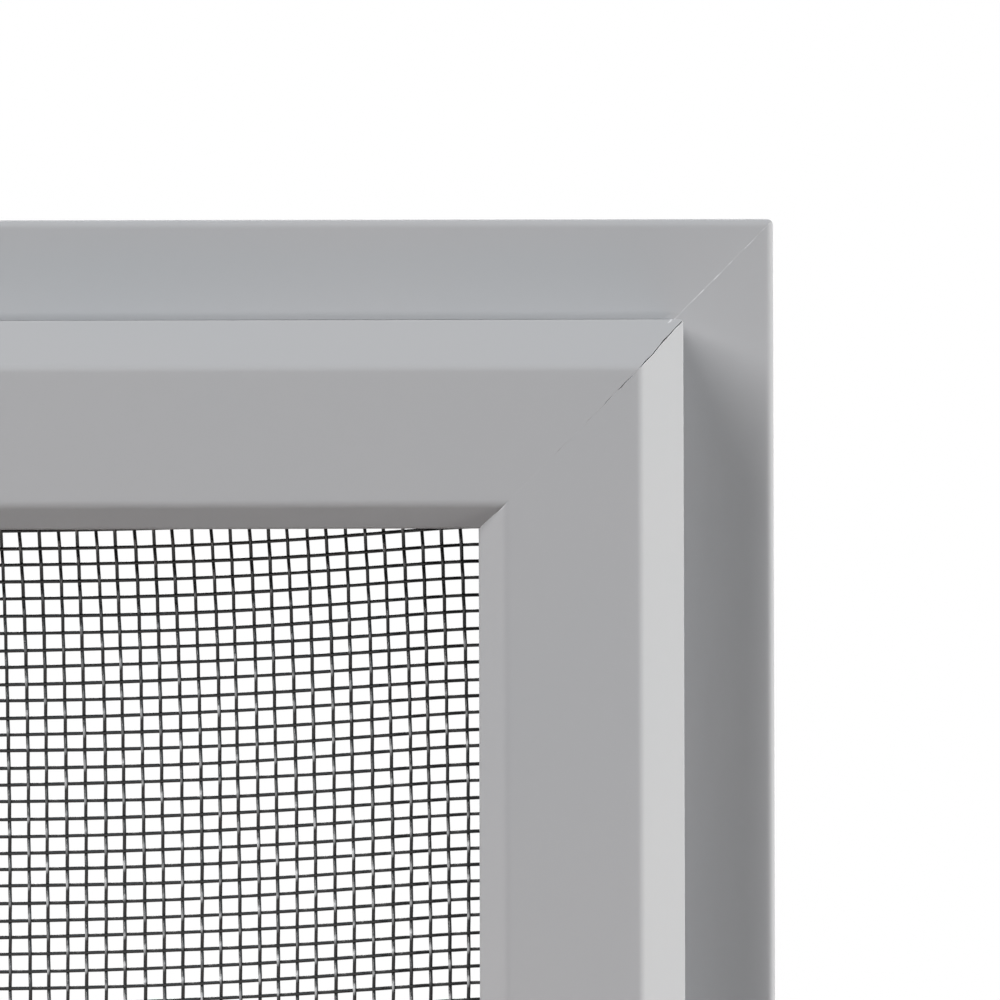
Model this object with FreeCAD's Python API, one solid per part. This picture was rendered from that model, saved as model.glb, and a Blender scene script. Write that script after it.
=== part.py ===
# Window screen frame: four mitred aluminium members with hidden corner keys, a woven insect screen
# pressed into a groove on the rear by a spline, and a brush seal in a slot under the outer flange.
# Millimetres. +Z is up, +X runs to the right seen from the front, and the front faces -Y.
# The origin is the centre of the box around the whole frame, brush seal included.
import FreeCAD, Part
import os
from math import atan2, copysign, cos, pi, sin, sqrt, tan

# Overall size, over the flanges
frame_width = 500.0
frame_height = 600.0

# Front of the member's section, from the flange's outer edge towards the opening
flange_width = 8.4
step_height = 7.8
chamfer_width = 3.95
chamfer_height = 4.2
face_width = 11.35
bevel_width = 2.0
bevel_height = 1.5
lip_land = 0.9
lip_overhang = 1.5
wall = 1.2

# Rounded edges of the section, and the most of a straight edge that one rounded end may take
flange_edge_radius = 0.65
root_radius = 0.3
chamfer_foot_radius = 0.3
chamfer_head_radius = 0.9
face_edge_radius = 1.2
lip_radius = 0.4
rear_edge_radius = 0.3
fold_radius = 0.4
rounding_share = 0.45

# Brush seal and its slot under the flange
brush_base_width = 4.8
brush_base_thickness = 0.9
brush_pile_width = 2.6
brush_tip_width = 2.0
brush_reach = 3.0
brush_clearance = 0.1
brush_mouth_clearance = 0.3
slot_inset = 1.4
slot_lip = 0.8
flange_skin = 1.1

# Spline and the groove that it presses the screen into
spline_diameter = 3.6
spline_ribs = 10
spline_rib_height = 0.15
seat_clearance = 0.05
groove_lip = 0.8
groove_barb = 0.4
screen_inset = 1.0

# Insect screen: the woven thread and its spacing, and the coarse lattice that stands for the weave
# with the same open share, each strand a band of threads drawn as a few ridges
thread_diameter = 0.28
thread_pitch_across = 1.5875
thread_pitch_up = 1.411
gaps_across = 10
gaps_up = 12
ridges_per_strand = 3
ridge_height = 0.14
ridge_flank = 0.4
ridge_spacing = 0.5

# Corner keys
key_leg_length = 28.0
key_clearance = 0.12
key_core_inset = 0.7
key_rib_count = 5
key_rib_thickness = 1.2
key_block_length = 3.0

# Hairline left open at each mitre
mitre_gap = 0.1

# Places in the section that follow: across from the outer edge, deep from the rear towards the front
slot_depth = brush_base_thickness + 2 * brush_clearance
slot_width = brush_base_width + 2 * brush_clearance
slot_mouth = brush_pile_width + 2 * brush_mouth_clearance
slot_centre = slot_inset + slot_width / 2
slot_roof = slot_lip + slot_depth
flange_thickness = slot_roof + flange_skin
chamfer_foot = flange_thickness + step_height
chamfer_angle = atan2(chamfer_height, chamfer_width)
profile_depth = chamfer_foot + chamfer_height
face_start = flange_width + chamfer_width
face_end = face_start + face_width
profile_width = face_end + bevel_width
lip_tip = profile_depth - bevel_height
lip_underside = lip_tip - lip_land
inner_wall = profile_width - lip_overhang
groove_inner = inner_wall - wall
groove_outer = groove_inner - spline_diameter - thread_diameter - 3 * seat_clearance
groove_mouth = groove_outer + groove_barb
groove_floor = groove_lip + spline_diameter + 2 * seat_clearance
spline_across = groove_outer + seat_clearance + spline_diameter / 2
spline_deep = groove_lip + seat_clearance + spline_diameter / 2
rear_plane = (profile_depth - brush_reach) / 2


def section_point(across, deep):
    return FreeCAD.Vector(0, rear_plane - deep, across)


# A closed wire through (across, deep, radius) corners, each rounded as far as its edges allow
def outline(corners):
    points = [section_point(across, deep) for across, deep, radius in corners]
    bends = []
    for i, (across, deep, radius) in enumerate(corners):
        into = points[i] - points[i - 1]
        out = points[(i + 1) % len(points)] - points[i]
        half_turn = into.getAngle(out) / 2
        room = rounding_share * min(into.Length, out.Length)
        trim = min(radius * tan(half_turn), room)
        into.normalize()
        out.normalize()
        inward = out - into
        inward.normalize()
        middle = points[i] + inward * (trim * tan(half_turn / 2))
        bends.append((points[i] - into * trim, middle, points[i] + out * trim))
    edges = []
    for i, (start, middle, end) in enumerate(bends):
        if corners[i][2] > 0:
            edges.append(Part.Arc(start, middle, end).toShape())
        next_start = bends[(i + 1) % len(bends)][0]
        edges.append(Part.LineSegment(end, next_start).toShape())
    return Part.Wire(edges)


def sharp(*places):
    return outline([(across, deep, 0) for across, deep in places])


def flat_face(wires):
    return Part.makeFace(Part.Compound(wires), "Part::FaceMakerBullseye")


# A bar along X with the given section, from one place to another
def bar(wires, start, end):
    solid = flat_face(wires).extrude(FreeCAD.Vector(end - start, 0, 0))
    solid.translate(FreeCAD.Vector(start, 0, 0))
    return solid


# A prism through the whole depth over an outline in the plane of the frame
def upright_prism(places):
    front = rear_plane - profile_depth - profile_width
    points = [FreeCAD.Vector(x, front, z) for x, z in places]
    depth = profile_depth + brush_reach + 2 * profile_width
    return Part.Face(Part.makePolygon(points + points[:1])).extrude(FreeCAD.Vector(0, depth, 0))


# A length of section for one side of the frame, cut at 45 degrees at both ends
def side_length(wires, length):
    half = length / 2 - mitre_gap / sqrt(2)
    below = -profile_width
    above = 2 * profile_width
    lower = half - below
    upper = half - above
    keep = upright_prism([(-lower, below), (lower, below), (upper, above), (-upper, above)])
    return bar(wires, -length / 2, length / 2).common(keep)


# The key's chamber, moved in from its walls by an inset
def chamber_outline(inset):
    cover = wall + inset
    front = profile_depth - cover
    inner = groove_outer - cover
    head = face_start + cover * tan(chamfer_angle / 2)
    foot = chamfer_foot - cover * tan((pi / 2 - chamfer_angle) / 2)
    outer = flange_width + cover
    return sharp((outer, cover), (inner, cover), (inner, front), (head, front), (outer, foot))


# The whole section of a frame member: rounded outside, key chamber, and a hollow in front of the groove
def member_section():
    outside = outline([
        (0, flange_thickness, flange_edge_radius),
        (flange_width, flange_thickness, root_radius),
        (flange_width, chamfer_foot, chamfer_foot_radius),
        (face_start, profile_depth, chamfer_head_radius),
        (face_end, profile_depth, face_edge_radius),
        (profile_width, lip_tip, lip_radius),
        (profile_width, lip_underside, lip_radius),
        (inner_wall, lip_underside, root_radius),
        (inner_wall, screen_inset, fold_radius),
        (groove_inner, screen_inset, fold_radius),
        (groove_inner, groove_floor, 0),
        (groove_outer, groove_floor, 0),
        (groove_outer, groove_lip, 0),
        (groove_mouth, groove_lip, 0),
        (groove_mouth, 0, rear_edge_radius),
        (slot_centre + slot_mouth / 2, 0, 0),
        (slot_centre + slot_mouth / 2, slot_lip, 0),
        (slot_centre + slot_width / 2, slot_lip, 0),
        (slot_centre + slot_width / 2, slot_roof, 0),
        (slot_centre - slot_width / 2, slot_roof, 0),
        (slot_centre - slot_width / 2, slot_lip, 0),
        (slot_centre - slot_mouth / 2, slot_lip, 0),
        (slot_centre - slot_mouth / 2, 0, 0),
        (0, 0, rear_edge_radius),
    ])
    hollow_rear = groove_floor + wall
    hollow_front = profile_depth - wall
    hollow = sharp(
        (groove_outer, hollow_rear),
        (groove_inner, hollow_rear),
        (groove_inner, hollow_front),
        (groove_outer, hollow_front),
    )
    return [outside, chamber_outline(0), hollow]


# Round cord with sharp lengthwise ribs, crest and valley by turns
def spline_section():
    crest = spline_diameter / 2
    valley = crest - spline_rib_height
    places = []
    for i in range(2 * spline_ribs):
        turn = i * pi / spline_ribs
        radius = valley if i % 2 else crest
        places.append((spline_across + radius * cos(turn), spline_deep + radius * sin(turn)))
    return [sharp(*places)]


# Flat backing in the slot, with a pile that narrows to its tip behind the frame
def brush_section():
    base_rear = slot_lip + brush_clearance
    base_front = base_rear + brush_base_thickness
    return [sharp(
        (slot_centre - brush_base_width / 2, base_front),
        (slot_centre + brush_base_width / 2, base_front),
        (slot_centre + brush_base_width / 2, base_rear),
        (slot_centre + brush_pile_width / 2, base_rear),
        (slot_centre + brush_tip_width / 2, -brush_reach),
        (slot_centre - brush_tip_width / 2, -brush_reach),
        (slot_centre - brush_pile_width / 2, base_rear),
        (slot_centre - brush_base_width / 2, base_rear),
    )]


# An L-shaped key for the lower left corner, with that corner of the frame at x = 0, z = 0:
# a solid block in the bend, and two slimmer legs with ribs that fill the chamber
def corner_key():
    fitted = chamber_outline(key_clearance)
    leg_start = groove_outer - wall
    leg_end = leg_start + key_leg_length
    leg = [bar([chamber_outline(key_clearance + key_core_inset)], 0, leg_end)]
    leg.append(bar([fitted], 0, leg_start + key_block_length))
    rib_step = (key_leg_length - key_block_length) / key_rib_count
    for i in range(key_rib_count):
        rib_end = leg_end - i * rib_step
        leg.append(bar([fitted], rib_end - key_rib_thickness, rib_end))
    half = leg[0].multiFuse(leg[1:])
    half = half.common(upright_prism([(0, 0), (2 * leg_end, 0), (2 * leg_end, 2 * leg_end)]))
    other = half.mirror(FreeCAD.Vector(0, 0, 0), FreeCAD.Vector(1, 0, -1))
    return half.fuse(other).removeSplitter()


# The screen: a wall across the opening with a lattice of gaps, upright ridges on its front and level
# ridges on its rear, and an edge folded forward into the groove beside the spline
def insect_screen():
    fold_outer = groove_inner - seat_clearance - thread_diameter
    wall_rear = rear_plane - screen_inset + seat_clearance + thread_diameter
    opening_width = frame_width - 2 * inner_wall
    opening_height = frame_height - 2 * inner_wall
    cell_width = opening_width / gaps_across
    cell_height = opening_height / gaps_up
    strand_width = cell_width * thread_diameter / thread_pitch_across
    strand_height = cell_height * thread_diameter / thread_pitch_up

    def rectangle(x, z, width, height):
        corners = [(-width, -height), (width, -height), (width, height), (-width, height)]
        points = [FreeCAD.Vector(x + a / 2, wall_rear, z + b / 2) for a, b in corners]
        return Part.makePolygon(points + points[:1])

    def ridge(width, length, rise):
        middle = wall_rear - thread_diameter / 2
        surface = middle + copysign(thread_diameter / 2, rise)
        half_foot = width / 2
        half_top = half_foot - ridge_flank
        right = [(half_foot, middle), (half_foot, surface), (half_top, surface + rise)]
        left = [(-x, y) for x, y in reversed(right)]
        points = [FreeCAD.Vector(x, y, -length / 2) for x, y in right + left]
        return Part.Face(Part.makePolygon(points + points[:1])).extrude(FreeCAD.Vector(0, 0, length))

    def strand_places(count, cell, strand):
        spacing = strand / ridges_per_strand
        first = -count * cell / 2
        middle = (ridges_per_strand - 1) / 2
        return [first + i * cell + (j - middle) * spacing
                for i in range(1, count) for j in range(ridges_per_strand)]

    gaps = []
    for i in range(gaps_across):
        for j in range(gaps_up):
            x = (i + 0.5) * cell_width - opening_width / 2
            z = (j + 0.5) * cell_height - opening_height / 2
            gaps.append(rectangle(x, z, cell_width - strand_width, cell_height - strand_height))
    edge_width = frame_width - 2 * fold_outer
    edge_height = frame_height - 2 * fold_outer
    edge = rectangle(0, 0, edge_width, edge_height)
    inside_fold = rectangle(0, 0, edge_width - 2 * thread_diameter, edge_height - 2 * thread_diameter)
    sheet = flat_face([edge] + gaps).extrude(FreeCAD.Vector(0, -thread_diameter, 0))
    fold_depth = spline_deep - (rear_plane - wall_rear)
    pieces = [flat_face([edge, inside_fold]).extrude(FreeCAD.Vector(0, -fold_depth, 0))]
    for x in strand_places(gaps_across, cell_width, strand_width):
        upright = ridge(strand_width / ridges_per_strand - ridge_spacing,
                        opening_height - 2 * ridge_spacing, -ridge_height)
        upright.translate(FreeCAD.Vector(x, 0, 0))
        pieces.append(upright)
    for z in strand_places(gaps_up, cell_height, strand_height):
        level = ridge(strand_height / ridges_per_strand - ridge_spacing,
                      opening_width - 2 * ridge_spacing, ridge_height)
        level.rotate(FreeCAD.Vector(0, 0, 0), FreeCAD.Vector(0, 1, 0), 90)
        level.translate(FreeCAD.Vector(0, 0, z))
        pieces.append(level)
    return sheet.multiFuse(pieces).removeSplitter()


# A copy turned about Y, then carried to its place in the plane of the frame
def placed(shape, turn, x, z):
    copy = shape.copy()
    copy.rotate(FreeCAD.Vector(0, 0, 0), FreeCAD.Vector(0, 1, 0), turn)
    copy.translate(FreeCAD.Vector(x, 0, z))
    return copy


def save(shape, node):
    shape.exportStep("parts/" + node + ".step")


os.makedirs("parts", exist_ok=True)
half_width = frame_width / 2
half_height = frame_height / 2

# Each side's name, member name, turn about Y, outside length, and the middle of its outer edge
sides = [
    ("bottom", "bottom_rail", 0, frame_width, 0, -half_height),
    ("left", "left_stile", 90, frame_height, -half_width, 0),
    ("top", "top_rail", 180, frame_width, 0, half_height),
    ("right", "right_stile", 270, frame_height, half_width, 0),
]
for side, member, turn, length, x, z in sides:
    save(placed(side_length(member_section(), length), turn, x, z), member)
    save(placed(side_length(spline_section(), length), turn, x, z), "spline_" + side)
    save(placed(side_length(brush_section(), length), turn, x, z), "brush_seal_" + side)

corners = [
    ("bottom_left", 0, -half_width, -half_height),
    ("top_left", 90, -half_width, half_height),
    ("top_right", 180, half_width, half_height),
    ("bottom_right", 270, half_width, -half_height),
]
key = corner_key()
for corner, turn, x, z in corners:
    save(placed(key, turn, x, z), "corner_key_" + corner)

save(insect_screen(), "insect_screen")
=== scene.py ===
import bpy
import math
import numpy as np
from mathutils import Matrix, Vector


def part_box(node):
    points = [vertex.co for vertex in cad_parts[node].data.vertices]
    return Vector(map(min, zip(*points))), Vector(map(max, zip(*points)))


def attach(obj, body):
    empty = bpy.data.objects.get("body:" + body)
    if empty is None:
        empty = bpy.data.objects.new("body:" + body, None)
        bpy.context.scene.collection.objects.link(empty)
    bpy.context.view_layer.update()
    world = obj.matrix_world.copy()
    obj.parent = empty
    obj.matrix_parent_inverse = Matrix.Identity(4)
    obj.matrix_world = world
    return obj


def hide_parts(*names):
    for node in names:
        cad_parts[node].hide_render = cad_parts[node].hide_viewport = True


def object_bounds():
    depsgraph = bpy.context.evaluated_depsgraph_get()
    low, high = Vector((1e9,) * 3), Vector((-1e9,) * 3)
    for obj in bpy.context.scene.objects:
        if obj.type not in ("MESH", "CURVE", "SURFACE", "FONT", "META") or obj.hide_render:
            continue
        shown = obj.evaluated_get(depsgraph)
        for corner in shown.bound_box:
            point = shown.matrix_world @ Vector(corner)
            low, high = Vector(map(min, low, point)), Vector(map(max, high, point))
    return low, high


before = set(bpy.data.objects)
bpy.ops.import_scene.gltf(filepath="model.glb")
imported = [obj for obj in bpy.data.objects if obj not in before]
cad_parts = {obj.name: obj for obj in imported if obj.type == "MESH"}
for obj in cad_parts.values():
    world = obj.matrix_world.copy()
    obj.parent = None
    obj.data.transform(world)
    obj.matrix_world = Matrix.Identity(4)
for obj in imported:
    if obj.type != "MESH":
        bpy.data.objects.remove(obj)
cadBox = [list(corner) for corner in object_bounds()]
mm = 0.001
rng = np.random.default_rng(1816)
bpy.context.scene.view_settings.view_transform = "Standard"
print("frame loaded,", len(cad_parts), "nodes")

# Sizes that every piece shares, in millimetres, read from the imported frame
halfWide = cadBox[1][0] / mm
halfTall = cadBox[1][2] / mm
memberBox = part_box("top_rail")
rearPlane = memberBox[1][1] / mm                      # rear of the members, Y grows towards the rear
profileDepth = (memberBox[1][1] - memberBox[0][1]) / mm
tipReach = (cadBox[1][1] - memberBox[1][1]) / mm      # how far the brush pile stands out behind
sideNames = ["bottom", "left", "top", "right"]
memberNames = dict(bottom="bottom_rail", left="left_stile", top="top_rail", right="right_stile")


# One node: settings are its properties, sockets are values or other nodes' outputs to link
def addNode(tree, kind, sockets, **settings):
    node = tree.nodes.new(kind)
    for key, value in settings.items():
        setattr(node, key, value)
    for key, value in sockets.items():
        if isinstance(value, bpy.types.NodeSocket):
            tree.links.new(value, node.inputs[key])
        else:
            node.inputs[key].default_value = value
    return node


# sRGB to linear: c / 12.92 in the darks, ((c + 0.055) / 1.055) ** 2.4 above
def linear(hexColour):
    srgb = np.array([int(hexColour[i:i + 2], 16) for i in (1, 3, 5)]) / 255
    lin = np.where(srgb <= 0.04045, srgb / 12.92, ((srgb + 0.055) / 1.055) ** 2.4)
    return (*lin.tolist(), 1.0)


# A material with an empty node tree
def newMaterial(name):
    material = bpy.data.materials.new(name)
    material.use_nodes = True
    material.node_tree.nodes.clear()
    return material, material.node_tree


mixFactor, mixA, mixB, mixOut = 0, 6, 7, 2            # a colour Mix node's sockets, by place


# Satin powder coat, baked on extruded aluminium: an even soft grey with a slight orange peel about a
# millimetre across, and bare bright metal where the saw broke the coat along a mitre
def powderCoat():
    look = dict(coat="#A2A4A7", coatWarm="#A6A6A8", metal="#D9DADC", cloudMm=26, peelMm=0.9,
                smooth=0.62, dull=0.68, bareRoughness=0.35, specular=0.3, peelHeightMm=0.0035)
    material, tree = newMaterial("satin powder coat on aluminium")
    place = addNode(tree, "ShaderNodeTexCoord", {}).outputs["Object"]
    bare = addNode(tree, "ShaderNodeAttribute", {}, attribute_name="bareEdge").outputs["Fac"]
    cloud = addNode(tree, "ShaderNodeTexNoise",
                    {"Vector": place, "Scale": 1 / (look["cloudMm"] * mm), "Detail": 3.0}).outputs["Fac"]
    peel = addNode(tree, "ShaderNodeTexNoise",
                   {"Vector": place, "Scale": 1 / (look["peelMm"] * mm), "Detail": 1.5}).outputs["Fac"]
    grey = addNode(tree, "ShaderNodeMix", {mixFactor: cloud, mixA: linear(look["coat"]),
                   mixB: linear(look["coatWarm"])}, data_type="RGBA").outputs[mixOut]
    colour = addNode(tree, "ShaderNodeMix", {mixFactor: bare, mixA: grey, mixB: linear(look["metal"])},
                     data_type="RGBA").outputs[mixOut]
    satin = addNode(tree, "ShaderNodeMapRange",
                    {"Value": peel, "To Min": look["smooth"], "To Max": look["dull"]}).outputs["Result"]
    rough = addNode(tree, "ShaderNodeMix", {"Factor": bare, "A": satin, "B": look["bareRoughness"]},
                    data_type="FLOAT").outputs["Result"]
    bump = addNode(tree, "ShaderNodeBump", {"Height": peel, "Strength": 1.0,
                   "Distance": look["peelHeightMm"] * mm}).outputs["Normal"]
    shader = addNode(tree, "ShaderNodeBsdfPrincipled", {"Base Color": colour, "Metallic": bare,
                     "Roughness": rough, "Specular IOR Level": look["specular"], "Normal": bump})
    addNode(tree, "ShaderNodeOutputMaterial", {"Surface": shader.outputs["BSDF"]})
    return material


# Glass-fibre yarn dipped in black vinyl and woven: near black, smooth, with a soft shine along the thread
# and painted highlights: pale glints mixed into the colour just above a crossing where the warp lies in
# front
def vinylYarn():
    look = dict(dark="#161718", pale="#252627", glint="#DCDEE0", streakMm=0.5, smooth=0.12, dull=0.32,
                ior=1.53, specular=0.4, filmHeightMm=0.03)
    material, tree = newMaterial("black vinyl on glass-fibre yarn")
    place = addNode(tree, "ShaderNodeTexCoord", {}).outputs["Object"]
    streak = addNode(tree, "ShaderNodeTexNoise",
                     {"Vector": place, "Scale": 1 / (look["streakMm"] * mm), "Detail": 2.0}).outputs["Fac"]
    # painted highlight mask: where a pale glint is mixed into the thread's colour
    glint = addNode(tree, "ShaderNodeAttribute", {}, attribute_name="paintedGlint").outputs["Fac"]
    black = addNode(tree, "ShaderNodeMix", {mixFactor: streak, mixA: linear(look["dark"]),
                    mixB: linear(look["pale"])}, data_type="RGBA").outputs[mixOut]
    colour = addNode(tree, "ShaderNodeMix", {mixFactor: glint, mixA: black, mixB: linear(look["glint"])},
                     data_type="RGBA").outputs[mixOut]
    rough = addNode(tree, "ShaderNodeMapRange",
                    {"Value": streak, "To Min": look["smooth"], "To Max": look["dull"]}).outputs["Result"]
    bump = addNode(tree, "ShaderNodeBump", {"Height": streak, "Strength": 1.0,
                   "Distance": look["filmHeightMm"] * mm}).outputs["Normal"]
    shader = addNode(tree, "ShaderNodeBsdfPrincipled", {"Base Color": colour, "Roughness": rough,
                     "IOR": look["ior"], "Specular IOR Level": look["specular"], "Normal": bump})
    addNode(tree, "ShaderNodeOutputMaterial", {"Surface": shader.outputs["BSDF"]})
    return material


# Extruded soft vinyl cord: black, matt, faintly scuffed where the roller pressed it home
def softVinyl():
    look = dict(dark="#1A1A1B", scuffed="#2C2C2D", scuffMm=3.0, skinMm=0.25, skinHeightMm=0.008,
                smooth=0.52, dull=0.68, ior=1.53)
    material, tree = newMaterial("extruded soft vinyl cord")
    place = addNode(tree, "ShaderNodeTexCoord", {}).outputs["Object"]
    scuff = addNode(tree, "ShaderNodeTexNoise",
                    {"Vector": place, "Scale": 1 / (look["scuffMm"] * mm), "Detail": 3.0}).outputs["Fac"]
    skin = addNode(tree, "ShaderNodeTexNoise",
                   {"Vector": place, "Scale": 1 / (look["skinMm"] * mm), "Detail": 1.0}).outputs["Fac"]
    colour = addNode(tree, "ShaderNodeMix", {mixFactor: scuff, mixA: linear(look["dark"]),
                     mixB: linear(look["scuffed"])}, data_type="RGBA").outputs[mixOut]
    rough = addNode(tree, "ShaderNodeMapRange",
                    {"Value": scuff, "To Min": look["smooth"], "To Max": look["dull"]}).outputs["Result"]
    bump = addNode(tree, "ShaderNodeBump", {"Height": skin, "Strength": 1.0,
                   "Distance": look["skinHeightMm"] * mm}).outputs["Normal"]
    shader = addNode(tree, "ShaderNodeBsdfPrincipled", {"Base Color": colour, "Roughness": rough,
                     "IOR": look["ior"], "Normal": bump})
    addNode(tree, "ShaderNodeOutputMaterial", {"Surface": shader.outputs["BSDF"]})
    return material


# Woven polypropylene pile: grey fibre, darker at the roots where light is lost, no shine
def brushPile():
    look = dict(root="#3E4042", tip="#85888B", strandMm=0.5, lift=0.1, roughness=0.85, sheen=0.25, ior=1.49)
    material, tree = newMaterial("polypropylene brush pile")
    place = addNode(tree, "ShaderNodeTexCoord", {}).outputs["Object"]
    height = addNode(tree, "ShaderNodeAttribute", {}, attribute_name="pileHeight").outputs["Fac"]
    strand = addNode(tree, "ShaderNodeTexNoise",
                     {"Vector": place, "Scale": 1 / (look["strandMm"] * mm), "Detail": 2.0}).outputs["Fac"]
    mixed = addNode(tree, "ShaderNodeMath", {0: height, 1: strand, 2: look["lift"]},
                    operation="MULTIPLY_ADD")
    colour = addNode(tree, "ShaderNodeMix", {mixFactor: mixed.outputs[0], mixA: linear(look["root"]),
                     mixB: linear(look["tip"])}, data_type="RGBA").outputs[mixOut]
    shader = addNode(tree, "ShaderNodeBsdfPrincipled", {"Base Color": colour, "Sheen Weight": look["sheen"],
                     "Roughness": look["roughness"], "IOR": look["ior"]})
    addNode(tree, "ShaderNodeOutputMaterial", {"Surface": shader.outputs["BSDF"]})
    return material


# Moulded glass-filled nylon: charcoal, with a fine pale fibre fleck in a satin skin
def filledNylon():
    look = dict(body="#2A2B2D", fleck="#4A4C4F", fleckMm=0.7, fleckFrom=0.52, fleckFull=0.72, roughness=0.5,
                ior=1.53, skinHeightMm=0.01)
    material, tree = newMaterial("moulded glass-filled nylon")
    place = addNode(tree, "ShaderNodeTexCoord", {}).outputs["Object"]
    fleck = addNode(tree, "ShaderNodeTexNoise",
                    {"Vector": place, "Scale": 1 / (look["fleckMm"] * mm), "Detail": 4.0}).outputs["Fac"]
    spots = addNode(tree, "ShaderNodeMapRange",
                    {"Value": fleck, "From Min": look["fleckFrom"],
                     "From Max": look["fleckFull"]}).outputs["Result"]
    colour = addNode(tree, "ShaderNodeMix", {mixFactor: spots, mixA: linear(look["body"]),
                     mixB: linear(look["fleck"])}, data_type="RGBA").outputs[mixOut]
    bump = addNode(tree, "ShaderNodeBump", {"Height": fleck, "Strength": 1.0,
                   "Distance": look["skinHeightMm"] * mm}).outputs["Normal"]
    shader = addNode(tree, "ShaderNodeBsdfPrincipled", {"Base Color": colour, "Normal": bump,
                     "Roughness": look["roughness"], "IOR": look["ior"]})
    addNode(tree, "ShaderNodeOutputMaterial", {"Surface": shader.outputs["BSDF"]})
    return material


coat, yarn, cordVinyl, pile, nylon = powderCoat(), vinylYarn(), softVinyl(), brushPile(), filledNylon()
print("materials made")


# Puts points (millimetres) and faces into one mesh, with values for each point as attributes, and rides it
def addPiece(name, points, faces, material, values=None, sharpAngle=0.55):
    mesh = bpy.data.meshes.new(name)
    mesh.from_pydata((points * mm).tolist(), [], faces)
    for key, value in (values or {}).items():
        mesh.attributes.new(key, "FLOAT", "POINT").data.foreach_set("value", value.astype(np.float32))
    mesh.polygons.foreach_set("use_smooth", np.ones(len(mesh.polygons), dtype=bool))
    mesh.set_sharp_from_angle(angle=sharpAngle)
    mesh.materials.append(material)
    mesh.update()
    piece = bpy.data.objects.new(name, mesh)
    bpy.context.scene.collection.objects.link(piece)
    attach(piece, "root")
    return piece


# A side's own axes: x along it from its middle, across from its outer edge inwards, deep from rear to front;
# point = middle of outer edge + x * along + across * inward, with Y = rear plane - deep
def placeOnSide(side, x, across, deep):
    turn = math.pi / 2 * sideNames.index(side)
    along = np.array([math.cos(turn), 0, -math.sin(turn)])
    inward = np.array([math.sin(turn), 0, math.cos(turn)])
    middle = -inward * np.array([halfWide, 0, halfTall])
    depth = np.array([0, 1, 0])
    return middle + x[..., None] * along + across[..., None] * inward + (rearPlane - deep)[..., None] * depth


# Half of a side's length over its outer corners
def halfLength(side):
    return halfWide if side in ("bottom", "top") else halfTall


# Faces of rings that follow one another: quads between ring s and s + 1, and a cap on the first and last
# ring; the ring turns clockwise seen along its path, so the faces point outwards
def ringFaces(rings, ringSize):
    index = np.arange(rings * ringSize).reshape(rings, ringSize)
    a, b = index[:-1], index[1:]
    quads = np.stack([a, b, np.roll(b, -1, axis=1), np.roll(a, -1, axis=1)], axis=-1).reshape(-1, 4)
    return quads.tolist() + [index[0].tolist(), index[-1, ::-1].tolist()]


# Closed loop through rounded corners: arc i turns by the corner's turn about a centre at radius from both
# edges, arcs start trim = radius * tan(turn / 2) before the corner, straight runs are divided evenly;
# no arc takes more than trimShare of a run
def roundedLoop(corners, arcSteps, runSteps, trimShare=0.45):
    corners = np.array(corners)
    points, radius = corners[:, :2], corners[:, 2]
    into = points - np.roll(points, 1, axis=0)
    out = np.roll(points, -1, axis=0) - points
    intoLength, outLength = np.linalg.norm(into, axis=1), np.linalg.norm(out, axis=1)
    into, out = into / intoLength[:, None], out / outLength[:, None]
    turn = np.arctan2(into[:, 0] * out[:, 1] - into[:, 1] * out[:, 0], (into * out).sum(axis=1))
    halfTan = np.tan(np.abs(turn) / 2)
    trim = np.minimum(radius * halfTan, trimShare * np.minimum(intoLength, outLength))
    radius = trim / halfTan
    toCentre = np.stack([-into[:, 1], into[:, 0]], axis=1) * np.sign(turn)[:, None]
    centre = points - into * trim[:, None] + toCentre * radius[:, None]
    sweep = np.abs(turn)[:, None, None] * np.linspace(0, 1, arcSteps)[None, :, None]
    arcs = centre[:, None] + radius[:, None, None] * (np.sin(sweep) * into[:, None]
                                                      - np.cos(sweep) * toCentre[:, None])
    share = (np.arange(1, runSteps + 1) / (runSteps + 1))[None, :, None]
    runs = arcs[:, -1:] + share * (np.roll(arcs[:, 0], -1, axis=0) - arcs[:, -1])[:, None]
    return np.concatenate([arcs, runs], axis=1).reshape(-1, 2)


# Outward direction of each loop point: its tangent turned a quarter
def loopNormals(loop):
    tangent = np.roll(loop, -1, axis=0) - np.roll(loop, 1, axis=0)
    normal = np.stack([-tangent[:, 1], tangent[:, 0]], axis=1)
    return normal / np.linalg.norm(normal, axis=1)[:, None]


# 0 below low, 1 above high, 3 t^2 - 2 t^3 between
def smoothStep(low, high, value):
    t = np.clip((value - low) / (high - low), 0, 1)
    return t * t * (3 - 2 * t)


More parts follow.
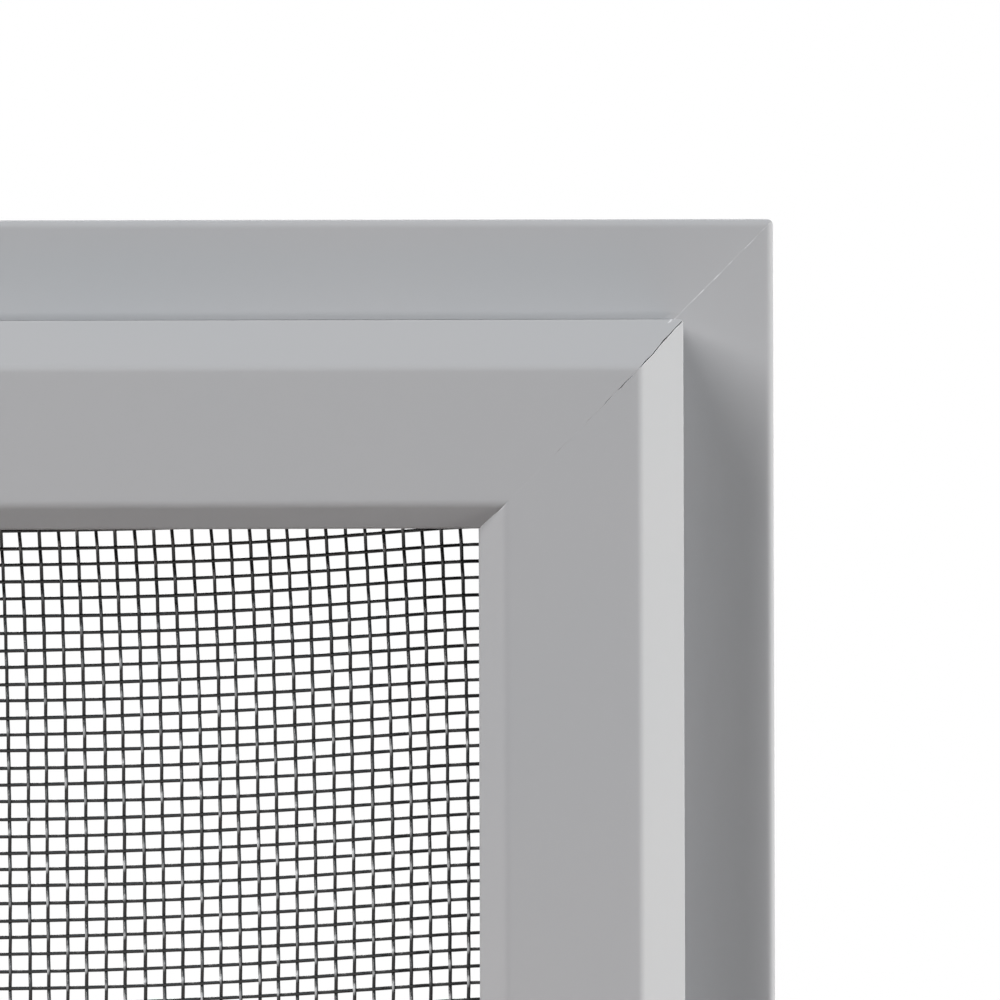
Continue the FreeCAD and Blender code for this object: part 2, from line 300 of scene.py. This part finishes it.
# Frame members, in millimetres: the extruded section carried along each side, cut at 45 degrees, with the
# saw's slightly broken edge at both ends
member = dict(
    flangeWidth=8.4, flangeThickness=3.0, faceStart=12.35, faceEnd=23.7, profileWidth=25.7,
    chamferFoot=10.8, lipTip=13.5, lipUnderside=12.6, innerWall=24.2, screenSeat=1.0,
    grooveInner=23.0, grooveOuter=18.97, grooveMouth=19.37, grooveFloor=4.5, grooveLip=0.8,
    slotCentre=3.9, slotWidth=5.0, slotMouth=3.2, slotLip=0.8, slotRoof=1.9,
    flangeFall=0.35, flangeEdge=0.65,                  # the flange's front leans back towards its edge
    quirkSlope=0.55, quirkRoll=3.0, quirkDrop=0.1, quirkWidth=0.08, quirkDepth=0.3, quirkEdge=0.02,
    quirkAtSaw=0.04, quirkFrom=0.4, quirkFull=1.15,    # its share at the saw cut, and where it grows
    root=0.3, chamferEdge=0.5, chamferHead=0.9, faceEdge=1.2, lipEdge=0.4,
    rearEdge=0.3, foldEdge=0.4, sharpEdge=0.1, cornerRadius=0.55, tipRadius=0.3, stepMargin=0.01,
    arcSteps=7, runSteps=32, edgeSteps=4,
    stations=(0.06, 0.09, 0.15, 0.24, 0.36, 0.55, 0.82, 0.95, 1.08, 1.2, 3.0),   # distances from the cut
    noiseStep=0.4, sawWaver=0.075, waverStep=0.8, waverFrom=1.0, waverFull=3.0,
    dashGain=5, dashFrom=0.2, gapLeast=0.4, gapSwing=1.2,        # hairline, dashed on the face
    bareWidth=0.06, bareLeast=0.2, bareGain=4, bareFrom=0.6, chipAt=0.95, chipBare=0.9,
)
# By distance across the member: half the hairline at a mitre, its broken edge, and how bare that edge is
mitreCut = np.array([
    (0, 0, 0.012, 0.15), (3, 0, 0.012, 0.45), (5.5, 0, 0.012, 0.8),
    (8, 0.001, 0.014, 1), (8.38, 0.001, 0.014, 1), (8.41, 0.042, 0.045, 0.25),
    (12.1, 0.046, 0.045, 0.1), (12.5, 0.004, 0.012, 0.05), (13.2, 0.004, 0.01, 0.05),
    (13.4, 0.055, 0.04, 0.05), (14, 0.05, 0.035, 0.05), (14.2, 0.003, 0.008, 0.05),
    (14.9, 0.003, 0.008, 0.05), (15.1, 0.05, 0.035, 0.05), (15.3, 0.03, 0.02, 0.05),
    (15.6, 0, 0.004, 0.05), (16.45, 0, 0.004, 0.05), (16.6, 0.012, 0.012, 0.05),
    (16.95, 0.012, 0.012, 0.05), (17.1, 0, 0.004, 0.05), (18.85, 0, 0.004, 0.05),
    (19, 0.012, 0.012, 0.05), (19.35, 0.012, 0.012, 0.05), (19.5, 0, 0.004, 0.05),
    (23.4, 0, 0.004, 0.1), (25.7, 0.002, 0.016, 0.7),
])
mitreAcross, mitreGapHalf, mitreEdge, mitreBare = mitreCut.T


# The section as corners with their radii, outer edge first; the quirk, a fine groove at the step's foot, has
# the given share of its depth
def memberLoop(quirk):
    m = member
    slotIn, slotOut = m["slotCentre"] + m["slotWidth"] / 2, m["slotCentre"] - m["slotWidth"] / 2
    mouthIn, mouthOut = m["slotCentre"] + m["slotMouth"] / 2, m["slotCentre"] - m["slotMouth"] / 2
    return roundedLoop([
        (0, m["flangeThickness"] - m["flangeFall"], m["flangeEdge"]),
        (m["flangeWidth"] - m["quirkSlope"], m["flangeThickness"], m["quirkRoll"]),
        (m["flangeWidth"] - m["quirkWidth"], m["flangeThickness"] - quirk * m["quirkDrop"], m["quirkEdge"]),
        (m["flangeWidth"] - m["quirkWidth"], m["flangeThickness"] - quirk * m["quirkDepth"], m["quirkEdge"]),
        (m["flangeWidth"], m["flangeThickness"] - quirk * m["quirkDepth"], m["quirkEdge"]),
        (m["flangeWidth"], m["chamferFoot"], m["chamferEdge"]),
        (m["faceStart"], profileDepth, m["chamferHead"]),
        (m["faceEnd"], profileDepth, m["faceEdge"]),
        (m["profileWidth"], m["lipTip"], m["lipEdge"]),
        (m["profileWidth"], m["lipUnderside"], m["lipEdge"]),
        (m["innerWall"], m["lipUnderside"], m["root"]),
        (m["innerWall"], m["screenSeat"], m["foldEdge"]),
        (m["grooveInner"], m["screenSeat"], m["foldEdge"]),
        (m["grooveInner"], m["grooveFloor"], m["sharpEdge"]),
        (m["grooveOuter"], m["grooveFloor"], m["sharpEdge"]),
        (m["grooveOuter"], m["grooveLip"], m["sharpEdge"]),
        (m["grooveMouth"], m["grooveLip"], m["sharpEdge"]),
        (m["grooveMouth"], 0, m["rearEdge"]),
        (mouthIn, 0, m["sharpEdge"]),
        (mouthIn, m["slotLip"], m["sharpEdge"]),
        (slotIn, m["slotLip"], m["sharpEdge"]),
        (slotIn, m["slotRoof"], m["sharpEdge"]),
        (slotOut, m["slotRoof"], m["sharpEdge"]),
        (slotOut, m["slotLip"], m["sharpEdge"]),
        (mouthOut, m["slotLip"], m["sharpEdge"]),
        (mouthOut, 0, m["sharpEdge"]),
        (0, 0, m["rearEdge"]),
    ], m["arcSteps"], m["runSteps"])


# Smooth random value along a length: random knots a fixed step apart, joined by straight lines
def alongNoise(distance, step):
    knots = rng.uniform(0, 1, int(distance.max() / step) + 2)
    return np.interp(distance / step, np.arange(len(knots)), knots)


sawnLoop, fullLoop = memberLoop(member["quirkAtSaw"]), memberLoop(1.0)
loopRun = np.concatenate([[0], np.cumsum(np.linalg.norm(np.diff(sawnLoop, axis=0), axis=1))])
# The saw's path at each corner wavers a little off the 45 degree line, the same for both members there
wavering = np.interp(sawnLoop[:, 0], [member["waverFrom"], member["waverFull"]], [0, member["sawWaver"]])
sawPaths = [wavering * (2 * alongNoise(loopRun, member["waverStep"]) - 1) for side in sideNames]


# x of an end = half length - across - hairline - saw's waver - set back; the first stations round the sawn
# edge with a quarter circle: set back = r (1 - cos t), moved in from the skin by r (1 - sin t); where two
# outer edges meet, the skin follows an arc: across >= edge + R - sqrt(R^2 - (R - s)^2), s = reach past the
# edge; bare metal shows on the broken edge and at one chip by the step's foot
def frameMember(side):
    m = member
    normal = loopNormals(sawnLoop)
    place = sawnLoop[:, 0]
    sweep = np.linspace(0, math.pi / 2, m["edgeSteps"])[:, None]
    rounded = np.interp(place, mitreAcross, mitreEdge)
    beyond = np.array(m["stations"])[:, None] * np.ones(len(place))
    setBack = np.concatenate([rounded * (1 - np.cos(sweep)), beyond])
    inset = np.concatenate([rounded * (1 - np.sin(sweep)), 0 * beyond])
    grown = smoothStep(m["quirkFrom"], m["quirkFull"], setBack)[..., None]
    loops = sawnLoop + grown * (fullLoop - sawnLoop)
    across, deep = np.moveaxis(loops - inset[..., None] * normal, -1, 0)
    outerEdge = np.where(place < m["flangeWidth"] - m["stepMargin"], 0, m["flangeWidth"])
    radius = np.where(outerEdge == 0, m["cornerRadius"], m["tipRadius"])
    cornerCut = outerEdge + radius * (1 - math.sqrt(0.5))
    foot = np.hypot(place - m["flangeWidth"], sawnLoop[:, 1] - m["chamferFoot"]) < m["chamferEdge"]
    chip = m["chipBare"] * foot * (setBack == m["chipAt"]) * (side in ("bottom", "top"))
    ends, acrossEnds, bareEnds = [], [], []
    for end in (-1, 1):
        sawPath = sawPaths[(sideNames.index(side) + (end < 0)) % len(sideNames)]
        wobble = alongNoise(loopRun, m["noiseStep"])
        dashes = np.clip(m["dashGain"] * (wobble - m["dashFrom"]), 0, 1)
        uneven = m["gapLeast"] + m["gapSwing"] * wobble
        gap = np.interp(place, mitreAcross, mitreGapHalf) * np.where(place > m["faceStart"], dashes, uneven)
        chipped = np.clip(m["bareGain"] * (alongNoise(loopRun, m["noiseStep"]) - m["bareFrom"]), 0, 1)
        bare = np.interp(place, mitreAcross, mitreBare) * (m["bareLeast"] + (1 - m["bareLeast"]) * chipped)
        fromEnd = np.maximum(across + gap + end * sawPath + setBack, cornerCut)
        inArc = np.clip(radius + outerEdge - fromEnd, 0, radius)
        ends.append(end * (halfLength(side) - fromEnd))
        acrossEnds.append(np.maximum(across, outerEdge + radius - np.sqrt(radius ** 2 - inArc ** 2)))
        bareEnds.append(np.maximum(bare * (setBack <= m["bareWidth"]), chip))
    x = np.concatenate([ends[0], ends[1][::-1]])
    bare = np.concatenate([bareEnds[0], bareEnds[1][::-1]])
    across = np.concatenate([acrossEnds[0], acrossEnds[1][::-1]])
    deep = np.concatenate([deep, deep[::-1]])
    points = placeOnSide(side, x, across, deep).reshape(-1, 3)
    piece = addPiece(memberNames[side] + "_skin", points, ringFaces(*x.shape), coat,
                     {"bareEdge": bare.ravel()})
    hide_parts(memberNames[side])


for side in sideNames:
    frameMember(side)
print("frame members made")

# Insect screen: woven threads, pulled a little out of square where the spline draws the cloth in
weave = dict(
    pitchAcross=1.594, pitchUp=1.4035, thread=0.3, firstAcross=224.54, firstUp=271.2, weftAbove=2,
    layDeep=0.81, crimp=0.14, plainOffset=0.1, swell=0.04, swellLength=5.3, swellTurn=3,
    sidesFine=8, sidesPlain=6, perCrossing=4, fineEnd=0.1, middleFine=10, middlePlain=4,
    edgeSpread=(0, 4, 10, 19, 33, 55, 90),
    fineAcross=(176.0, 183.0), fineUp=(226.0, 233.0),       # where the crimp fades in, near the upper corner
    leanTop=-0.92, leanTopFade=11.0, leanBottom=0.7, leanBottomFade=14.0, leanWave=140.0, leanFrom=205.0,
    liftRight=1.79, liftRightFade=18.5, liftLeft=-1.4, liftLeftFade=22.0, liftWave=170.0, liftFrom=255.0,
    liftPower=1.42,
    strayMm=0.045, strayLength=17.0, strayShare=0.7, strayTimes=2.7, edgeLimit=0.75, endLimit=0.6,
    # painted highlights: pale glints in the thread colour, a little above each front crossing on its
    # front-left side, and the same spread even on plain threads
    glintUp=0.2, fleckFrom=0.45, glintPower=1.4, glintPlain=0.05, glintSide=225.0,
    foldClear=0.19, foldBend=0.02,
)
openWide = halfWide - member["innerWall"]
openTall = halfTall - member["innerWall"]
# The fold into the groove, as steps past the opening's edge and how deep the thread lies there
foldAt = member["innerWall"] - member["grooveInner"] + weave["foldClear"]
foldPast = np.array([0.80, 1.06, 1.25, foldAt - weave["foldBend"], foldAt])
foldDeep = np.array([0.81, 0.86, 1.02, 1.35, 2.60])


# Pull of the cloth: lean = amount * exp(-distance from edge / fade) * cos(place along edge / wave), and lift
# the same with its distance / fade raised to a power
def clothLean(x, z):
    w = weave
    wave = np.cos((x - w["leanFrom"]) / w["leanWave"])
    top = w["leanTop"] * np.exp(-np.clip(openTall - z, 0, None) / w["leanTopFade"])
    bottom = w["leanBottom"] * np.exp(-np.clip(z + openTall, 0, None) / w["leanBottomFade"])
    return (top + bottom) * wave


def clothLift(x, z):
    w = weave
    wave = np.cos((z - w["liftFrom"]) / w["liftWave"])
    right = w["liftRight"] * np.exp(-(np.clip(openWide - x, 0, None) / w["liftRightFade"]) ** w["liftPower"])
    left = w["liftLeft"] * np.exp(-(np.clip(x + openWide, 0, None) / w["liftLeftFade"]) ** w["liftPower"])
    return (right + left) * wave


# Stations along a thread: a few per crossing in the fine part, spread out further along, close again at the
# far edge where the cloth is pulled
def threadStations(edge, fineFrom, pitch):
    near = np.arange(edge - weave["fineEnd"], fineFrom, -pitch / weave["perCrossing"])
    far = np.array(weave["edgeSpread"]) - edge
    middle = np.linspace(far[-1], near[-1], weave["middleFine"])[1:-1]
    return np.concatenate([far, middle, near[::-1]])


# The same for a thread with no fine part: spread alike from both edges
def plainStations(edge):
    spread = np.array(weave["edgeSpread"]) - edge
    middle = np.linspace(spread[-1], -spread[-1], weave["middlePlain"])[1:-1]
    return np.concatenate([spread, middle, -spread[::-1]])


# Tubes along many paths at once: ring point = centre + radius * (cos a * side + sin a * (tangent x side))
def tubes(paths, sideAxis, radius, sides):
    tangent = np.gradient(paths, axis=1)
    other = np.cross(tangent, sideAxis)
    other = other / np.linalg.norm(other, axis=-1, keepdims=True)
    angle = np.arange(sides) * 2 * math.pi / sides
    rings = paths[:, :, None] + radius[..., None, None] * (np.cos(angle)[:, None] * np.array(sideAxis)
                                                           + np.sin(angle)[:, None] * other[:, :, None])
    count, stations = paths.shape[:2]
    index = np.arange(count * stations * sides).reshape(count, stations, sides)
    a, b = index[:, :-1], index[:, 1:]
    quads = np.stack([a, np.roll(a, -1, axis=2), np.roll(b, -1, axis=2), b], axis=-1).reshape(-1, 4)
    return rings.reshape(-1, 3), quads, np.concatenate([index[:, 0, ::-1], index[:, -1]])


# Threads one way: at = each thread's place across, along = stations, upright = True for the warp.
# Height off the cloth's plane = crimp * cos(pi * along / pitch + pi * thread number), opposite for the weft;
# a painted highlight of random strength goes on the warp's front-left side where that cosine, a little
# higher up the warp, is near 1
def threadGroup(at, number, along, upright, sides):
    w = weave
    edge = openTall if upright else openWide
    pitch = w["pitchUp"] if upright else w["pitchAcross"]
    first = w["firstUp"] if upright else w["firstAcross"]
    limit = (openWide if upright else openTall) + w["edgeLimit"]
    flatAt, flatAlong = at[:, None] + 0 * along, along + 0 * at[:, None]
    x, z = (flatAt, flatAlong) if upright else (flatAlong, flatAt)
    lean, lift = clothLean(x, z), clothLift(x, z)
    phase = rng.uniform(0, 2 * math.pi, (2, len(at), 1))
    stray = w["strayMm"] * (np.sin(flatAlong / w["strayLength"] + phase[0])
                            + w["strayShare"] * np.sin(flatAlong / w["strayLength"] * w["strayTimes"]
                                                       + phase[1]))
    fine = smoothStep(*w["fineAcross"], x) * smoothStep(*w["fineUp"], z)
    over = 1 if upright else -1
    wave = np.cos(math.pi * (flatAlong - first) / pitch + math.pi * number[:, None])
    rise = over * (fine * w["crimp"] * wave + (1 - fine) * w["plainOffset"])
    across = np.clip(flatAt + stray + (lean if upright else lift), -limit, limit)
    end = edge + w["endLimit"]
    forward = np.clip(flatAlong + (lift if upright else lean), -end, end)
    lay = rearPlane - w["layDeep"] - rise
    ones = np.ones(len(at))[:, None]
    across = np.pad(across, ((0, 0), (len(foldPast), len(foldPast))), mode="edge")
    forward = np.concatenate([-(edge + foldPast[::-1]) * ones, forward, (edge + foldPast) * ones], axis=1)
    fold = (rearPlane - foldDeep) * ones
    lay = np.concatenate([fold[:, ::-1], lay, fold], axis=1)
    paths = np.stack([across, lay, forward] if upright else [forward, lay, across], axis=-1)
    swelling = np.sin(forward / w["swellLength"] + phase[0] * w["swellTurn"])
    radius = w["thread"] / 2 * (1 + w["swell"] * swelling)
    sideAxis = (1.0, 0.0, 0.0) if upright else (0.0, 0.0, 1.0)
    # painted highlight: a pale glint of random strength in the warp's colour on its front-left side at front
    # crossings
    above = np.cos(math.pi * (flatAlong - w["glintUp"] - first) / pitch + math.pi * number[:, None])
    strength = rng.uniform(0, 1, above.shape) ** w["glintPower"]
    fleck = fine * smoothStep(w["fleckFrom"], 1, above) * strength
    fleck = np.pad(fleck, ((0, 0), (len(foldPast), len(foldPast)))) * upright
    turn = np.arange(sides) * 2 * math.pi / sides - math.radians(w["glintSide"])
    glint = fleck[..., None] * np.clip(np.cos(turn), 0, 1) + w["glintPlain"] * upright * (1 - fine.max())
    return *tubes(paths, sideAxis, radius, sides), glint.ravel()


# All threads one way: those through the fine part with more stations and sides than the plain ones
def threadPiece(name, first, pitch, reach, fineEdge, edge, upright):
    w = weave
    number = np.arange(int((reach + first) / pitch) + 1) - (0 if upright else w["weftAbove"])
    at = first - number * pitch
    fine = at > fineEdge[0]
    fineFrom = (w["fineUp"] if upright else w["fineAcross"])[0]
    pitchAlong = w["pitchUp"] if upright else w["pitchAcross"]
    stations = threadStations(edge, fineFrom, pitchAlong)
    points, quads, caps, glint = threadGroup(at[fine], number[fine], stations, upright, w["sidesFine"])
    plain = threadGroup(at[~fine], number[~fine], plainStations(edge), upright, w["sidesPlain"])
    plainPoints, plainQuads, plainCaps, plainGlint = plain
    start = len(points)
    faces = quads.tolist() + caps.tolist() + (plainQuads + start).tolist() + (plainCaps + start).tolist()
    return addPiece(name, np.concatenate([points, plainPoints]), faces, yarn,
                    {"paintedGlint": np.concatenate([glint, plainGlint])}, sharpAngle=2.0)


warp = threadPiece("screen_warp", weave["firstAcross"], weave["pitchAcross"], openWide, weave["fineAcross"],
                   openTall, True)
weft = threadPiece("screen_weft", weave["firstUp"], weave["pitchUp"], openTall, weave["fineUp"],
                   openWide, False)
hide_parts("insect_screen")
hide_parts("insect_screen")
print("insect screen woven")

# Spline: ribbed cord pressed into the groove
splineCord = dict(diameter=3.6, across=20.82, deep=2.65, ribs=10, ribHeight=0.15, ring=60, stations=90,
                  pressed=0.03, pressLength=26.0, pressTimes=2.3, gap=0.06)


# r = crest - rib height * (1 - |cos(ribs * a / 2)|); the cord's depth swings slightly where it was rolled in
def splinePiece(side):
    s = splineCord
    angle = np.arange(s["ring"]) * 2 * math.pi / s["ring"]
    radius = s["diameter"] / 2 - s["ribHeight"] * (1 - np.abs(np.cos(s["ribs"] * angle / 2)))
    across = s["across"] + radius * np.cos(angle)
    deep = s["deep"] - radius * np.sin(angle)
    share = np.linspace(-1, 1, s["stations"])[:, None]
    x = share * (halfLength(side) - across - s["gap"])
    phase = rng.uniform(0, 2 * math.pi)
    swing = np.sin(x / s["pressLength"] + phase) + np.sin(x / s["pressLength"] * s["pressTimes"])
    press = s["pressed"] * swing / 2
    points = placeOnSide(side, x, across + 0 * x, deep + press)
    piece = addPiece("spline_cord_" + side, points.reshape(-1, 3), ringFaces(*x.shape), cordVinyl,
                     sharpAngle=0.9)
    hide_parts("spline_" + side)


for side in sideNames:
    splinePiece(side)
print("spline cords made")

# Brush seal: a woven backing in the slot and tufts of pile that stand out behind
brush = dict(baseWidth=4.8, baseRear=0.9, baseFront=1.8, edge=0.12, arcSteps=4, runSteps=2, gap=0.08,
             core=0.62, coreRoot=0.8, coreTop=0.6, coreShade=0.5,        # the dense inner pile, as shares
             pileWidth=2.6, tipWidth=2.0, rows=4, pitch=0.8, strayAlong=0.2, strayAcross=0.1,
             tuft=0.36, sides=4, level=(0.0, 0.55, 0.9, 1.0), girth=(0.9, 1.0, 0.8, 0.25), twist=6,
             lean=0.16, leanAcross=0.5, shorter=0.35)


# Tuft point = root + share of height * (tip - root) + radius(share) * (cos a, sin a), narrow at the tip
def brushPiece(side):
    b = brush
    half = b["baseWidth"] / 2
    centre = member["slotCentre"]
    pileHalf = b["pileWidth"] / 2
    coreRoot, coreTop = pileHalf * b["coreRoot"], pileHalf * b["coreTop"]
    fullLength = tipReach + b["baseRear"]
    coreTip = b["baseRear"] - b["core"] * fullLength
    loop = roundedLoop([
        (centre - half, b["baseFront"], b["edge"]),
        (centre + half, b["baseFront"], b["edge"]),
        (centre + half, b["baseRear"], b["edge"]),
        (centre + coreRoot, b["baseRear"], b["edge"]),
        (centre + coreTop, coreTip, b["edge"]),
        (centre - coreTop, coreTip, b["edge"]),
        (centre - coreRoot, b["baseRear"], b["edge"]),
        (centre - half, b["baseRear"], b["edge"]),
    ], b["arcSteps"], b["runSteps"])
    x = np.array([-1, 1])[:, None] * (halfLength(side) - loop[:, 0] - b["gap"])
    points = placeOnSide(side, x, loop[:, 0] + 0 * x, loop[:, 1] + 0 * x).reshape(-1, 3)
    faces = ringFaces(*x.shape)
    height = b["coreShade"] * np.clip((b["baseRear"] - loop[:, 1] + 0 * x).ravel() / fullLength, 0, 1)

    rowAt = np.linspace(-1, 1, b["rows"]) * (pileHalf - b["tuft"])
    reach = halfLength(side) - centre - pileHalf
    rootX, rowAcross = np.meshgrid(np.arange(-reach, reach, b["pitch"]), rowAt, indexing="ij")
    rootX = (rootX + rng.uniform(-b["strayAlong"], b["strayAlong"], rootX.shape)).ravel()[:, None, None]
    strayed = rowAcross + rng.uniform(-b["strayAcross"], b["strayAcross"], rowAcross.shape)
    rowAcross = strayed.ravel()[:, None, None]
    tipX = rng.normal(0, b["lean"], rootX.shape)
    tipAcross = rng.normal(0, b["lean"] * b["leanAcross"], rootX.shape)
    length = fullLength - b["shorter"] * rng.uniform(0, 1, rootX.shape) ** 2
    level = np.array(b["level"])[None, :, None]
    girth = b["tuft"] * np.array(b["girth"])[None, :, None]
    angle = (np.arange(b["sides"]) * 2 * math.pi / b["sides"])[None, None, :] + b["twist"] * tipX
    narrow = 1 - level * (1 - b["tipWidth"] / b["pileWidth"])
    tuftX = rootX + tipX * level ** 2 + girth * np.cos(angle)
    tuftAcross = centre + (rowAcross + tipAcross * level ** 2 + girth * np.sin(angle)) * narrow
    tuftDeep = b["baseRear"] - length * level + 0 * angle
    tuftPoints = placeOnSide(side, tuftX, tuftAcross, tuftDeep)
    index = len(points) + np.arange(tuftX.size).reshape(tuftX.shape)
    low, high = index[:, :-1], index[:, 1:]
    quads = np.stack([low, high, np.roll(high, -1, axis=2), np.roll(low, -1, axis=2)], axis=-1)
    faces += quads.reshape(-1, 4).tolist() + index[:, -1, ::-1].tolist() + index[:, 0].tolist()
    height = np.concatenate([height, (level + 0 * tuftX).ravel()])
    piece = addPiece("brush_strip_" + side, np.concatenate([points, tuftPoints.reshape(-1, 3)]), faces, pile,
                     {"pileHeight": height}, sharpAngle=1.2)
    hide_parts("brush_seal_" + side)


for side in sideNames:
    brushPiece(side)
print("brush seals made")

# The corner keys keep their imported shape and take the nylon
for name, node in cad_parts.items():
    if name.startswith("corner_key"):
        node.data.materials.clear()
        node.data.materials.append(nylon)
print("corner keys finished")


# Floor: a pale disc whose rim fades into the white around it; point = radius * (cos a, sin a)
def studioFloor():
    floor = dict(radius=0.85, hub=0.02, fadeFrom=0.35, rings=12, spokes=96, paint="#EDEDEC",
                 paintWarm="#F1F0EE", mottleMm=60, roughness=0.8)
    radius, angle = np.meshgrid(np.linspace(floor["hub"], floor["radius"], floor["rings"]),
                                np.arange(floor["spokes"]) * 2 * math.pi / floor["spokes"], indexing="ij")
    points = np.stack([radius * np.cos(angle), radius * np.sin(angle), cadBox[0][2] + 0 * angle], axis=-1)
    index = np.arange(radius.size).reshape(radius.shape)
    a, b = index[:-1], index[1:]
    quads = np.stack([a, b, np.roll(b, -1, axis=1), np.roll(a, -1, axis=1)], axis=-1).reshape(-1, 4)
    mesh = bpy.data.meshes.new("studio_floor")
    mesh.from_pydata(points.reshape(-1, 3).tolist(), [], quads.tolist() + [index[0].tolist()])
    material, tree = newMaterial("matt floor paint")
    place = addNode(tree, "ShaderNodeTexCoord", {}).outputs["Object"]
    mottle = addNode(tree, "ShaderNodeTexNoise",
                     {"Vector": place, "Scale": 1 / (floor["mottleMm"] * mm), "Detail": 4.0}).outputs["Fac"]
    colour = addNode(tree, "ShaderNodeMix", {mixFactor: mottle, mixA: linear(floor["paint"]),
                     mixB: linear(floor["paintWarm"])}, data_type="RGBA").outputs[mixOut]
    paint = addNode(tree, "ShaderNodeBsdfPrincipled",
                    {"Base Color": colour, "Roughness": floor["roughness"]})
    away = addNode(tree, "ShaderNodeVectorMath", {0: place}, operation="LENGTH").outputs["Value"]
    fade = addNode(tree, "ShaderNodeMapRange", {"Value": away, "From Min": floor["fadeFrom"],
                   "From Max": floor["radius"]}, interpolation_type="SMOOTHSTEP").outputs["Result"]
    clear = addNode(tree, "ShaderNodeBsdfTransparent", {})
    faded = addNode(tree, "ShaderNodeMixShader", {0: fade, 1: paint.outputs[0], 2: clear.outputs[0]})
    addNode(tree, "ShaderNodeOutputMaterial", {"Surface": faded.outputs[0]})
    mesh.materials.append(material)
    disc = bpy.data.objects.new("studio_floor", mesh)
    bpy.context.scene.collection.objects.link(disc)


studioFloor()
print("floor laid")

# Camera: a long lens a little to the left of square, on the frame's upper right corner
shot = dict(yawDegrees=5.3, rollDegrees=-0.16, distance=2.0, pixelsPerMm=12.02, imagePixels=1000,
            sensor=36.0, cornerPixel=(775.2, 219.3), farClip=100)
yaw = math.radians(shot["yawDegrees"])
ahead = Vector((math.sin(yaw), math.cos(yaw), 0))
flangeFront = rearPlane - member["flangeThickness"]
cornerOff = [(shot["cornerPixel"][i] - shot["imagePixels"] / 2) / shot["pixelsPerMm"] for i in (0, 1)]
target = Vector((halfWide - cornerOff[0] / math.cos(yaw), flangeFront, halfTall + cornerOff[1])) * mm
camera = bpy.data.objects.new("camera", bpy.data.cameras.new("camera"))
camera.data.sensor_width = shot["sensor"]
camera.data.lens = shot["sensor"] * shot["distance"] * shot["pixelsPerMm"] / (shot["imagePixels"] * mm)
camera.data.clip_end = shot["farClip"]
camera.location = target - ahead * shot["distance"]
tilted = Matrix.Rotation(math.radians(shot["rollDegrees"]), 3, "Z")
camera.rotation_euler = (ahead.to_track_quat("-Z", "Y").to_matrix() @ tilted).to_euler()
bpy.context.scene.collection.objects.link(camera)
bpy.context.scene.camera = camera

# Lamps: direction from the corner to the lamp, level is what a white card square to it would read
lamps = dict(
    keySoftbox=dict(towards=(-0.58, -0.547, 0.603), level=1.2, size=(2.9, 0.8),
                    longAxis=(0.298, 0.191, 0.455), distance=4.0, colour="#FFFDFC"),
    rightSoftbox=dict(towards=(0.988, -0.115, 0.05), level=1.515, size=(1.7, 0.6), longAxis=(0.2, 1.0, 0),
                      distance=4.0, colour="#FFFEFB"),
    rearSoftbox=dict(towards=(-0.3, 0.8, 0.52), level=0.95, size=(3.0, 3.0), longAxis=(1, 0, 0),
                     distance=4.0, colour="#FFFFFF"),
    frontSoftbox=dict(towards=(0.4, -0.86, 0.32), level=0.095, size=(1.6, 1.6), longAxis=(1, 0, 0),
                      distance=4.0, colour="#B8E6FF"),
    lowReflector=dict(towards=(0.3, -0.75, -0.58), level=0.042, size=(0.6, 0.2), longAxis=(1, 0, 0),
                      distance=0.9, colour="#FF8A30"),
)
for name, lamp in lamps.items():
    towards = Vector(lamp["towards"]).normalized()
    widthAxis = Vector(lamp["longAxis"])
    widthAxis = (widthAxis - widthAxis.dot(towards) * towards).normalized()
    light = bpy.data.objects.new(name, bpy.data.lights.new(name, "AREA"))
    light.data.shape = "RECTANGLE"
    light.data.size, light.data.size_y = lamp["size"]
    light.data.energy = math.pi ** 2 * lamp["distance"] ** 2 * lamp["level"]
    light.data.color = linear(lamp["colour"])[:3]
    turned = Matrix((widthAxis, towards.cross(widthAxis), towards)).transposed().to_4x4()
    turned.translation = target + towards * lamp["distance"]
    light.matrix_world = turned
    light.visible_camera = False
    bpy.context.scene.collection.objects.link(light)

# World: white where it is seen or mirrored, a weaker fill that is warmer from below where it only lights
fill = dict(level=0.07, above="#F4F7FA", below="#FFECD0", blend=0.5)
world = bpy.data.worlds.new("studio")
world.use_nodes = True
tree = world.node_tree
tree.nodes.clear()
path = addNode(tree, "ShaderNodeLightPath", {}).outputs
glossyToo = addNode(tree, "ShaderNodeMath", {0: path["Is Camera Ray"], 1: path["Is Glossy Ray"]},
                    operation="MAXIMUM")
seen = addNode(tree, "ShaderNodeMath", {0: glossyToo.outputs[0], 1: path["Is Transmission Ray"]},
               operation="MAXIMUM")
direction = addNode(tree, "ShaderNodeTexCoord", {}).outputs["Generated"]
upward = addNode(tree, "ShaderNodeSeparateXYZ", {"Vector": direction}).outputs["Z"]
rise = addNode(tree, "ShaderNodeMapRange", {"Value": upward, "From Min": -fill["blend"],
               "From Max": fill["blend"]}).outputs["Result"]
sky = addNode(tree, "ShaderNodeMix", {mixFactor: rise, mixA: linear(fill["below"]),
              mixB: linear(fill["above"])}, data_type="RGBA").outputs[mixOut]
soft = addNode(tree, "ShaderNodeBackground", {"Color": sky, "Strength": fill["level"]})
white = addNode(tree, "ShaderNodeBackground", {"Color": linear("#FFFFFF"), "Strength": 1.0})
both = addNode(tree, "ShaderNodeMixShader", {0: seen.outputs[0], 1: soft.outputs[0], 2: white.outputs[0]})
addNode(tree, "ShaderNodeOutputWorld", {"Surface": both.outputs[0]})
bpy.context.scene.world = world
print("camera, lamps and world set")
